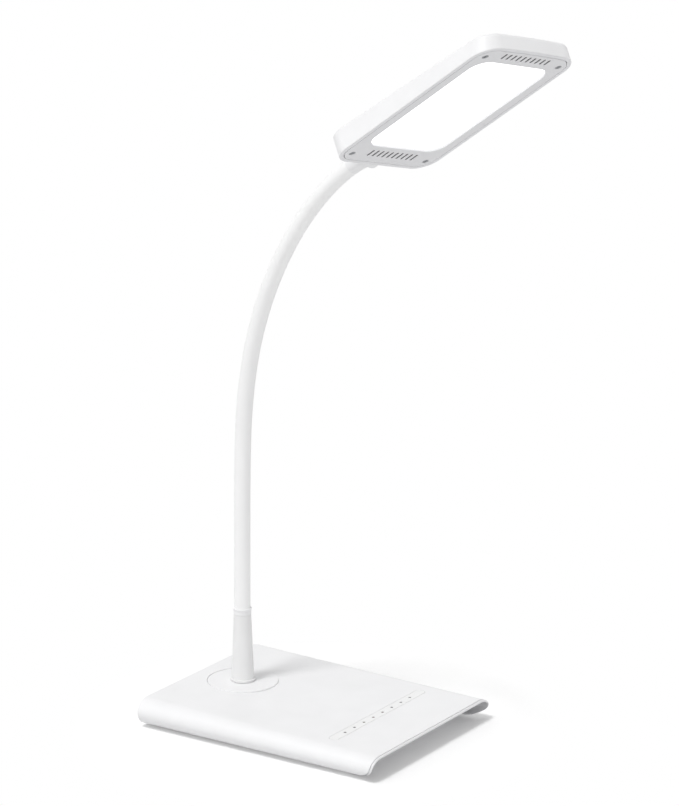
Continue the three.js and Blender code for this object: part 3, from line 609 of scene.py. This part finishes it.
# The control board: a green fibreglass board with its chips, a light under each pip, and copper
# tracks that show through the lacquer.
board_green, board_tree, board_place = new_finish("board_green")
board_shader = board_tree.nodes["Principled BSDF"]
tracks = add_pattern(
    board_tree, "ShaderNodeTexBrick", board_place, scale=160,
    color1=tone(0x1F5A3A), color2=tone(0x1B5234), mortar=tone(0x3C7A52), mortar_size=0.03,
)
board_tree.links.new(tracks.outputs["Color"], board_shader.inputs["Base Color"])
board_shader.inputs["Roughness"].default_value = 0.4
roughened(board_tree, tracks.outputs["Fac"], 0.4, 0.00004)
coated(["control_board", "led_strip_left", "led_strip_right"], board_green)

# The indicator bar: a plastic light pipe below the touch strip, whose eight round pips come up into
# the strip's holes. Each pip is smoked dark, with a tint of its own.
pip_tones = [0x4C4A4A, 0x3C3C3E, 0x524E34, 0x5A2E30, 0x603A3C, 0x3C3C40, 0x6E6E70, 0x4A4A4C]
indicator_opal, bar_tree, bar_place = new_finish("indicator_opal")
bar_shader = bar_tree.nodes["Principled BSDF"]
along_bar = bar_tree.nodes.new("ShaderNodeSeparateXYZ")
bar_tree.links.new(bar_place, along_bar.inputs[0])
pip_share = bar_tree.nodes.new("ShaderNodeMapRange")
pip_share.inputs["From Min"].default_value = -pip_pitch * pip_count / 2
pip_share.inputs["From Max"].default_value = pip_pitch * pip_count / 2
bar_tree.links.new(along_bar.outputs["X"], pip_share.inputs["Value"])
pip_stops = [(index / pip_count, tone(code)) for index, code in enumerate(pip_tones)]
pip_colour = graded(bar_tree, pip_share.outputs["Result"], pip_stops)
pip_colour.node.color_ramp.interpolation = "CONSTANT"
bar_tree.links.new(pip_colour, bar_shader.inputs["Base Color"])
bar_shader.inputs["Roughness"].default_value = 0.3
coated(["indicator_bar"], indicator_opal)

# The touch strip: a smooth, slightly glossy inlay of pale plastic with round ends, pressed into the
# recess near the front edge. Its eight small holes let the indicator's pips through.
strip_steps = 32
pip_rounding = 0.00012
touch_inlay = new_piece("touch_inlay", *at_strip(lofted(
    slot_outline(strip_length, strip_width, strip_steps),
    [
        (0, -strip_thickness - strip_sink),
        *[(growth - strip_rounding, level - strip_sink) for growth, level in recess_rim[::-1]],
    ],
)))
pip_rim = eased_rim(pip_rounding, -strip_sink, -1)
pip_hole = lofted(round_outline(pip_radius + clearance, strip_steps), [
    (0, -strip_thickness - overrun), *pip_rim[::-1], (pip_rim[0][0], overrun),
])
carved(touch_inlay, None, together(*[at_strip(pip_hole, x) for x in pip_places]))
strip_plastic = moulded("strip_plastic", 0xF1F1F1, 0xEEEEEE, 0.3, 3200, 0.00001)
dressed(touch_inlay, strip_plastic, "base", ["touch_strip"])

# The power inlet: a black moulded socket in the back wall with a brass pin down its bore, and the
# black lead that runs from it to the control board.
black_plastic = moulded("black_plastic", 0x1E1E20, 0x19191B, 0.5)
pin_brass = bright_steel("pin_brass", 0xCCA95E, 0xBE9A52, 0.3, 900)
coated(["power_jack", "jack_lead"], black_plastic)
coated(["jack_pin"], pin_brass)

# The foot strips: two long pads of grey moulded rubber with round ends and eased lower edges, glued
# into recesses in the cover.
foot_length = 0.092
foot_width = 0.008
foot_height = 0.0015
foot_rounding = 0.0004
foot_places = {"rear": 0, "front": -0.114}
foot_rubber = moulded("foot_rubber", 0x3D3D3F, 0x343436, 0.85, 1500, 0.00004)
foot_edge = [(-inset, level) for inset, level in eased_rim(foot_rounding)]
for name, y in foot_places.items():
    pad = new_piece(f"foot_pad_{name}", *moved(lofted(
        slot_outline(foot_length, foot_width), [*foot_edge, (0, foot_height)],
    ), 0, y))
    dressed(pad, foot_rubber, "base", [f"foot_strip_{name}"])

# The turning post: a thin disc in the base's cup, with its pivot held from inside by a steel washer
# and nut, and on it a moulded white cone with a lip at its foot and a ring at its top.


def closed_loop(rings):
    """Four-sided faces that join each ring to the next, and the last ring to the first."""
    here = np.arange(rings.shape[0] * rings.shape[1]).reshape(rings.shape[:2])
    beside, above = np.roll(here, -1, axis=1), np.roll(here, -1, axis=0)
    faces = np.stack([here, beside, np.roll(beside, -1, axis=0), above], axis=-1)
    return faces.reshape(-1, 4).tolist()


def turned_form(profile, sides=round_sides):
    """Points and faces of a closed ring of revolution about Z: the profile's (radius, height)
    points are carried round in even steps, and the last is joined to the first."""
    rings = ringed(round_outline(0, sides), profile)
    return rings.reshape(-1, 3), closed_loop(rings)


def eased(profile, radius, corners):
    """A profile whose numbered corners are rounded: each is replaced by five points of a parabola
    that leaves and meets its two sides at one radius from the corner."""
    points = [np.array(point, float) for point in profile]
    result = []
    for index, corner in enumerate(points):
        if index not in corners:
            result.append(corner)
            continue
        before, after = points[index - 1], points[(index + 1) % len(points)]
        start = corner + (before - corner) * radius / np.linalg.norm(before - corner)
        end = corner + (after - corner) * radius / np.linalg.norm(after - corner)
        for share in np.linspace(0, 1, 5):
            left = 1 - share
            result.append(left ** 2 * start + 2 * share * left * corner + share ** 2 * end)
    return [tuple(point) for point in result]


pivot_length = 0.0076
disc_bottom = disc_top - disc_thickness
pivot_bottom = disc_bottom - pivot_length
core_bore = 0.0037
disc_edge = 0.0006
disc_sides = 160
turning_disc = new_piece("turning_disc", *turned_form(eased([
    (pivot_radius, pivot_bottom),
    (pivot_radius, disc_bottom),
    (disc_radius, disc_bottom),
    (disc_radius, disc_top),
    (core_bore, disc_top),
    (core_bore, pivot_bottom),
], disc_edge, [3]), disc_sides))
dressed(turning_disc, white_shell, "post", ["post_disc"])

ring_bottom = 0.0685
ring_seat = 0.0712
ring_top = 0.0728
lip_gap = 0.0006
lip_thickness = 0.0013
lip_bottom = disc_top + lip_gap
lip_top = lip_bottom + lip_thickness
lip_radius = 0.0087
ring_seam = 0.0002
cone_foot = 0.0079
cone_top = 0.00605
cone_rounding = 0.0002
post_white = moulded("post_white", 0xECECEC, 0xE9E9E9, 0.45)
post_sleeve = new_piece("post_sleeve", *turned_form(eased([
    (cone_foot, disc_top),
    (cone_foot, lip_bottom),
    (lip_radius, lip_bottom),
    (lip_radius, lip_top),
    (cone_foot, lip_top),
    (cone_top, ring_bottom - ring_seam),
    (core_bore, ring_bottom - ring_seam),
    (core_bore, disc_top),
], cone_rounding, [3, 5])))
dressed(post_sleeve, post_white, "post", ["post_cone"])
ring_radius = 0.0062
ring_lip_radius = 0.0065
ring_lip_height = 0.0012
ring_inner_radius = 0.0057
small_rounding = 0.0003
post_ring = new_piece("post_ring", *turned_form(eased([
    (ring_radius, ring_bottom),
    (ring_radius, ring_top - ring_lip_height),
    (ring_lip_radius, ring_top - ring_lip_height),
    (ring_lip_radius, ring_top),
    (ring_inner_radius, ring_top),
    (ring_inner_radius, ring_seat),
    (core_bore, ring_seat),
    (core_bore, ring_bottom),
], small_rounding, [2, 3])))
dressed(post_ring, white_shell, "post", ["collar_ring"])
coated(["swivel_washer", "swivel_nut", "collar_nut"], screw_steel)

# The neck: steel ball-ended links, each seated over the ball of the one below, under one smooth
# white silicone sleeve. The sleeve is made in stretches that meet halfway along the links, each
# bending over one joint.
neck_foot = 0.0712
neck_length = 0.353
neck_radius = 0.00565
joint_count = 7
neck_turn = math.radians(-4.9)
neck_sum_steps = 7061
neck_sides = 64
stretch_rings = 33
sleeve_crease = 40
neck_leans = np.radians([0, 0.5, 0.5, 2.5, 11, 22, 32.5, 45.5, 55])
stations = np.clip((np.arange(joint_count + 2) - 0.5) / joint_count, 0, 1) * neck_length


def neck_line(distance):
    """Centre, direction and back of the neck at distances from its foot: the lean runs evenly
    between the stations, and the centre is the running sum of steps along it."""
    fine = np.linspace(0, neck_length, neck_sum_steps)
    lean = np.interp(fine, stations, neck_leans)
    step = fine[1] - fine[0]
    run, rise = [
        np.concatenate([[0], np.cumsum((way[1:] + way[:-1]) / 2 * step)])
        for way in (-np.sin(lean), np.cos(lean))
    ]
    lean = np.interp(distance, stations, neck_leans)
    flat = np.zeros_like(lean)
    centre = np.stack([
        flat,
        np.interp(distance, fine, run),
        neck_foot + np.interp(distance, fine, rise),
    ], -1)
    along = np.stack([flat, -np.sin(lean), np.cos(lean)], -1)
    back = np.stack([flat, np.cos(lean), np.sin(lean)], -1)
    turn = np.array(Matrix.Rotation(neck_turn, 3, "Z"))
    return centre @ turn.T, along @ turn.T, back @ turn.T


silicone = moulded("silicone_sleeve", 0xF8F8F8, 0xF6F6F6, 0.5, 1800, 0.000004)
middles = np.concatenate([[0], (stations[1:-2] + stations[2:-1]) / 2, [neck_length]])
for index in range(joint_count):
    centre, along, back = neck_line(np.linspace(middles[index], middles[index + 1], stretch_rings))
    across = np.cross(back, along)
    angle = np.linspace(0, 2 * math.pi, neck_sides, endpoint=False)[:, None]
    spokes = across[:, None] * np.cos(angle) + back[:, None] * np.sin(angle)
    outside, inside = [centre[:, None] + radius * spokes for radius in (neck_radius, core_bore)]
    rings = np.concatenate([outside, inside[::-1]])
    stretch = new_piece(f"sleeve_stretch_{index + 1}", rings.reshape(-1, 3), closed_loop(rings))
    replaced = [f"neck_sleeve_{index + 1}"]
    if index == joint_count - 1:
        replaced.append(f"neck_sleeve_{joint_count + 1}")
    dressed(stretch, silicone, None, replaced, sleeve_crease)
    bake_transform(stretch)

core_steel = bright_steel("core_steel", 0xA2A4A7, 0x909296, 0.4, 700)
coated([f"neck_core_{index + 1}" for index in range(joint_count + 1)], core_steel)

# The ferrule: a flared white collar moulded on the neck's end, with a spring ring inside it that
# holds the head's spigot and lets it turn.
tip_centre, tip_along, tip_back = (value[0] for value in neck_line(np.array([neck_length])))
tip_across = np.cross(tip_back, tip_along)
tip_turn = np.stack([tip_across, tip_back, tip_along], axis=-1)


def at_tip(form):
    """A form that was turned about Z set onto the neck's end, its Z running on along the neck."""
    return form[0] @ tip_turn.T + tip_centre, form[1]


ferrule_end = 0.0139
ferrule_radius = 0.0058
flare_start = 0.0045
flare_radius = 0.0067
spigot_bore = 0.0042
spigot_seat = 0.0028
clip_groove_radius = 0.0048
clip_start = 0.0054
clip_end = 0.0070
neck_cup = new_piece("neck_cup", *at_tip(turned_form(eased([
    (ferrule_radius, 0),
    (ferrule_radius, flare_start),
    (flare_radius, ferrule_end),
    (spigot_bore, ferrule_end),
    (spigot_bore, clip_end),
    (clip_groove_radius, clip_end),
    (clip_groove_radius, clip_start),
    (spigot_bore, clip_start),
    (spigot_bore, spigot_seat),
    (core_bore, spigot_seat),
    (core_bore, 0),
], small_rounding, [0, 2]))))
dressed(neck_cup, white_shell, "neck_8", ["neck_ferrule"])
coated(["ferrule_clip"], screw_steel)

# The head shell: a thin wedge-shaped white moulding, thicker at the neck end, its corners rounded
# and its tip edge bowed out a little. Screw bosses and ribs stand inside it. Its downward-facing rim
# carries a greyer copy of the white plastic and its inside faces a dark grey, both painted shade.
face_length = 0.1502
face_width = 0.0867
face_corner = 0.0149
tip_bow = 0.0018
thickness_at_neck = 0.0174
thickness_at_tip = 0.0114
head_roll = math.radians(-14.8)
axis_level = 0.0109
face_start = 0.0215
head_rim = 0.003
head_draft = 0.002
back_stretch = 1.037
head_wall = 0.002
rim_round = 0.0006
back_round = 0.003
corner_steps = 17
tip_steps = 24
edge_points = 7
head_boss_radius = 0.0027
head_pilot_radius = 0.0013
head_pilot_depth = 0.0065
rib_places = (0.040, 0.075, 0.115)
rib_half_width = 0.001
rib_half_length = 0.028
rib_foot = 0.0095
stem_hole_radius = 0.0033
stem_hole_sides = 48
head_screw_places = [(a, side * 0.0334) for a in (0.0111, 0.1376) for side in (-1, 1)]
bezel_thickness = 0.0016


def four_corners(near, far, reach, radius):
    """Four quarter circles in turn about the corners of a rectangle, which goes from near to far
    along the head and by the reach to each side."""
    corners = ((far, -reach), (far, reach), (near, reach), (near, -reach))
    parts = []
    for turns, (along, across) in enumerate(corners, -1):
        angle = np.linspace(0, math.pi / 2, corner_steps) + turns * math.pi / 2
        x, y = along + radius * np.cos(angle), across + radius * np.sin(angle)
        parts.append(np.stack([x, y], -1))
    return parts


def head_outline(inset):
    """A rounded rectangle inset all round: four quarter circles and an evenly stepped tip edge, all
    drawn back by the bow times the squares of the shares along and across."""
    reach = face_width / 2 - face_corner
    parts = four_corners(face_corner, face_length - face_corner, reach, face_corner - inset)
    tip_places = np.linspace(-reach, reach, tip_steps + 2)[1:-1]
    parts.insert(1, np.stack([np.full(tip_steps, face_length - inset), tip_places], -1))
    outline = np.concatenate(parts)
    bow = tip_bow * (outline[:, 0] / face_length) ** 2
    outline[:, 0] -= bow * (2 * outline[:, 1] / face_width) ** 2
    return outline


def head_thickness(along):
    """Height of the back above the face, falling evenly from the neck end to the tip."""
    return thickness_at_neck + (thickness_at_tip - thickness_at_neck) * along / face_length


def head_rings(from_face, from_back):
    """Rings of the head's outline at (inset, level), the level counted from the flat face or from
    the sloping back, where each is drawn out lengthways about its middle by the stretch."""
    rings = [*ringed(head_outline, from_face)]
    for inset, level in from_back:
        outline = head_outline(inset)
        outline[:, 0] = face_length / 2 + (outline[:, 0] - face_length / 2) * back_stretch
        rings.append(np.column_stack([outline, head_thickness(outline[:, 0]) + level]))
    return rings


def outer_levels(grow=0.0):
    """The head's outer profile as (inset, level) from the face and from the back: a quarter round at
    each edge with a drafted side between, moved out by the growth, which turns evenly from straight
    up or down to sideways."""
    shares = np.linspace(0, 1, edge_points)
    face = [
        (inset - grow, level - grow * (1 - share))
        for share, (inset, level) in zip(shares, eased_rim(rim_round, points=edge_points))
    ]
    back = [
        (head_draft + inset - grow, grow * share - below)
        for share, (below, inset) in zip(shares, eased_rim(back_round, points=edge_points))
    ]
    return face, back


def from_head(points):
    """Points given as (along the head, across it, up from its face) in the lamp's own frame: they
    are rolled about the neck's axis, then set on the neck's end."""
    along, across, up = np.asarray(points).T
    local = np.stack([across, up - axis_level, along + face_start], -1)
    roll = np.array(Matrix.Rotation(head_roll, 3, "Z"))
    return local @ roll.T @ tip_turn.T + tip_centre


def on_head(form):
    """A form given in the head's own directions, set into the lamp's frame."""
    return from_head(form[0]), form[1]


def along_head(form, level):
    """A form made about Z laid down along the head, at this level above the head's face."""
    x, y, z = form[0].T
    return np.stack([z, x, y + level], -1), form[1]


face_levels, back_levels = outer_levels()
diffuser_level = bezel_thickness + clearance
wall_inset = head_draft + head_wall
fine_rounding = 0.0001
rim_inner = [(head_rim - growth, level) for growth, level in eased_rim(fine_rounding)]
outer = head_rings(face_levels, back_levels)[::-1]
inner = head_rings(
    [*rim_inner, (head_rim, diffuser_level), (wall_inset, diffuser_level)],
    [(wall_inset, -head_wall)],
)
head_housing = new_piece("head_housing", *on_head(closed_skin(outer + inner)))
head_bosses = [
    rod(head_boss_radius, diffuser_level, head_thickness(a) - head_wall / 2, (a, b), boss_sides)
    for a, b in head_screw_places
]
ribs = [
    closed_skin([
        np.array([
            (a - rib_half_width, -rib_half_length, z),
            (a + rib_half_width, -rib_half_length, z),
            (a + rib_half_width, rib_half_length, z),
            (a - rib_half_width, rib_half_length, z),
        ])
        for z in (rib_foot, head_thickness(a) - head_wall / 2)
    ])
    for a in rib_places
]
head_pilots = [
    rod(head_pilot_radius, 0, head_pilot_depth, place)
    for place in head_screw_places
]
stem_bar = rod(stem_hole_radius, -overrun, wall_inset + overrun, sides=stem_hole_sides)
stem_hole = along_head(stem_bar, axis_level)
carved(
    head_housing,
    on_head(together(*head_bosses, *ribs)),
    on_head(together(*head_pilots, stem_hole)),
)
dressed(head_housing, white_shell, "head", ["head_shell"])
# Painted shade: a greyer copy of the white plastic for the shell's downward-facing rim.
rim_painted_shade = moulded("rim_painted_shade", 0xE8E8EA, 0xE5E5E7, 0.5)
# Painted shade: a dark grey for the head's inside faces and the vent slots' walls.
shaded_inside = moulded("shaded_inside", 0x9C9C9E, 0x949496, 0.6)
head_housing.data.materials.append(rim_painted_shade)
head_housing.data.materials.append(shaded_inside)
origin, ahead, upward = from_head([(0, 0, 0), (1, 0, 0), (0, 0, 1)])
ahead, upward = ahead - origin, upward - origin
middle_height = (diffuser_level + head_thickness(face_length / 2)) / 2
hollow_middle = Vector(origin + ahead * face_length / 2 + upward * middle_height)
# Painted shade: faces turned into the hollow get the dark grey, and downward-facing faces at the rim
# the greyer copy.
for face in head_housing.data.polygons:
    level = (np.array(face.center) - origin) @ upward
    faces_in = face.normal.dot(hollow_middle - face.center) > 0
    if faces_in and level > diffuser_level - fine_rounding:
        face.material_index = 2
    elif face.normal.dot(Vector(upward)) < -0.8 and level < rim_round:
        face.material_index = 1

# The head collar: a round white flange moulded on the head's neck end, cut to the head's rounded
# edge. Its spigot turns in the ferrule, and its stem passes the head's wall to the nut inside.
collar_start = 0.0151
collar_end = 0.0250
collar_radius = 0.0085
collar_shift = 0.0012
collar_edge = 0.0007
collar_sides = 128
spigot_start = 0.0031
spigot_radius = 0.0039
stem_radius = 0.0030
stem_end = 0.0281
lead_bore_radius = 0.0016
collar_levels = [
    (-inset, level)
    for inset, level in eased_rim(collar_edge, collar_start - face_start, points=edge_points)
]
collar_rim = lofted(round_outline(collar_radius, collar_sides), [
    *collar_levels, (0, collar_end - face_start),
])
head_collar = new_piece(
    "swivel_collar",
    *on_head(along_head(collar_rim, axis_level - collar_shift)),
)
clear_of_head = closed_skin(head_rings(*outer_levels(clearance)))
carved(head_collar, None, on_head(clear_of_head))
spigot = turned_form([
    (spigot_radius, spigot_start),
    (spigot_radius, clip_start),
    (stem_radius, clip_start),
    (stem_radius, clip_end),
    (spigot_radius, clip_end),
    (spigot_radius, collar_start + collar_edge),
    (stem_radius, collar_start + collar_edge),
    (stem_radius, stem_end),
    (lead_bore_radius, stem_end),
    (lead_bore_radius, spigot_start),
])
lead_bore = rod(lead_bore_radius, 0, stem_end + overrun, sides=stem_hole_sides)
carved(head_collar, at_tip(spigot), at_tip(lead_bore))
dressed(head_collar, white_shell, "head", ["head_collar"])

# The bezel: a thin plate of pale grey moulded plastic let into the shell's rim round the window,
# with a row of vent slots at each end, whose walls carry a dark grey as painted shade, and a
# counterbored seat for each of its four screws.
window_length = 0.1101
window_width = 0.0659
window_corner = 0.0113
window_shift = 0.0027
window_middle = face_length / 2 + window_shift
vent_count = 10
vent_steps = 8
vent_pitch = 0.066 * window_width
vent_width = 0.0015
vent_places = ((0.0143, 0.0076), (0.141, 0.0061))
seat_sides = 40
seat_radius = 0.0022
seat_depth = 0.0011
seat_rounding = 0.00015
screw_hole_radius = 0.0013
cutter_overrun = 0.001
bezel_seam = 0.00045
bezel_inset = head_rim + bezel_seam
window_rounding = 0.0004


def window_outline(growth):
    """The window's rounded rectangle grown all round: four quarter circles of corner plus growth."""
    half = window_length / 2 - window_corner
    near, far = window_middle - half, window_middle + half
    reach = window_width / 2 - window_corner
    return np.concatenate(four_corners(near, far, reach, window_corner + growth))


def through_face(outline, rounding):
    """A cutter from below the face to above the plate, flared by a quarter round at the face."""
    flare = eased_rim(rounding)
    return lofted(outline, [
        (flare[0][0], -cutter_overrun), *flare, (0, bezel_thickness + cutter_overrun),
    ])


bezel_edge = [(bezel_inset + inset, level) for inset, level in eased_rim(fine_rounding)]
face_frame = new_piece("face_frame", *on_head(closed_skin(
    head_rings([*bezel_edge, (bezel_inset, bezel_thickness)], []),
)))
vents = [
    moved(through_face(slot_outline(length, vent_width, vent_steps), fine_rounding), a, b)
    for a, length in vent_places
    for b in (np.arange(vent_count) - (vent_count - 1) / 2) * vent_pitch
]
hole_growth = screw_hole_radius - seat_radius
seat = lofted(round_outline(seat_radius, seat_sides), [
    (seat_rounding, -cutter_overrun),
    *eased_rim(seat_rounding),
    (0, seat_depth),
    (hole_growth, seat_depth),
    (hole_growth, bezel_thickness + cutter_overrun),
])
seats = [moved(seat, *place) for place in head_screw_places]
window_hole = through_face(window_outline, window_rounding)
carved(face_frame, None, on_head(together(window_hole, *vents, *seats)))
face_plastic = moulded("face_plastic", 0xE5E5E7, 0xE2E2E4, 0.5)
dressed(face_frame, face_plastic, "head", ["bezel"])
face_frame.data.materials.append(shaded_inside)
sideways = np.cross(upward, ahead)
# Painted shade: the walls of the vent slots get the dark grey of the shaded inside.
for face in face_frame.data.polygons:
    middle = np.array(face.center) - origin
    beside_vent = any(
        abs(middle @ ahead - a) < length / 2 + seam_slack
        for a, length in vent_places
    )
    in_row = abs(middle @ sideways) < vent_count / 2 * vent_pitch
    is_wall = abs(face.normal.dot(Vector(upward))) < 0.5
    if beside_vent and in_row and is_wall:
        face.material_index = 1

# The light panel behind the window: an opal acrylic pane that glows evenly, the clear guide that
# carries the light from an LED strip along each long side, a white reflector film, an aluminium
# plate that takes the heat, and the black lead that feeds them.
pane_thickness = 0.0015
pane_overlap = 0.0014
pane_light = 0.9
light_pane = new_piece("light_pane", *on_head(lofted(window_outline, [
    (pane_overlap, diffuser_level), (pane_overlap, diffuser_level + pane_thickness),
])))
opal_pane, pane_tree, pane_place = new_finish("opal_pane")
milk = add_pattern(pane_tree, "ShaderNodeTexNoise", pane_place, scale=30, detail=2)
varied(pane_tree, milk.outputs["Fac"], 0xFFFFFF, 0xFAFAFA, 0.32, 0.04)
dressed(light_pane, opal_pane, "head", ["diffuser"])
lit_pane = opal_pane.copy()
lit_pane.name = "lit_pane"
lit_shader = lit_pane.node_tree.nodes["Principled BSDF"]
lit_shader.inputs["Emission Color"].default_value = (1, 1, 1, 1)
lit_shader.inputs["Emission Strength"].default_value = pane_light
light_pane.data.materials.append(lit_pane)
for face in light_pane.data.polygons:
    face.material_index = int(face.normal.dot(Vector(upward)) < -0.5)

guide_acrylic, guide_tree, guide_place = new_finish("guide_acrylic")
guide_shader = guide_tree.nodes["Principled BSDF"]
dots = add_pattern(guide_tree, "ShaderNodeTexVoronoi", guide_place, scale=600)
guide_tones = [(0.2, tone(0xFFFFFF)), (0.3, tone(0xE9F1F4))]
guide_tree.links.new(
    graded(guide_tree, dots.outputs["Distance"], guide_tones),
    guide_shader.inputs["Base Color"],
)
guide_shader.inputs["Roughness"].default_value = 0.1
guide_shader.inputs["IOR"].default_value = 1.49
guide_shader.inputs["Transmission Weight"].default_value = 0.8
film_white = moulded("film_white", 0xF8F8F8, 0xF4F4F4, 0.6)
spreader_aluminium = bright_steel("spreader_aluminium", 0xCBCDCF, 0xBFC1C3, 0.4, 500)
coated(["light_guide"], guide_acrylic)
coated(["reflector"], film_white)
coated(["heat_spreader"], spreader_aluminium)
coated(["head_lead"], black_plastic)
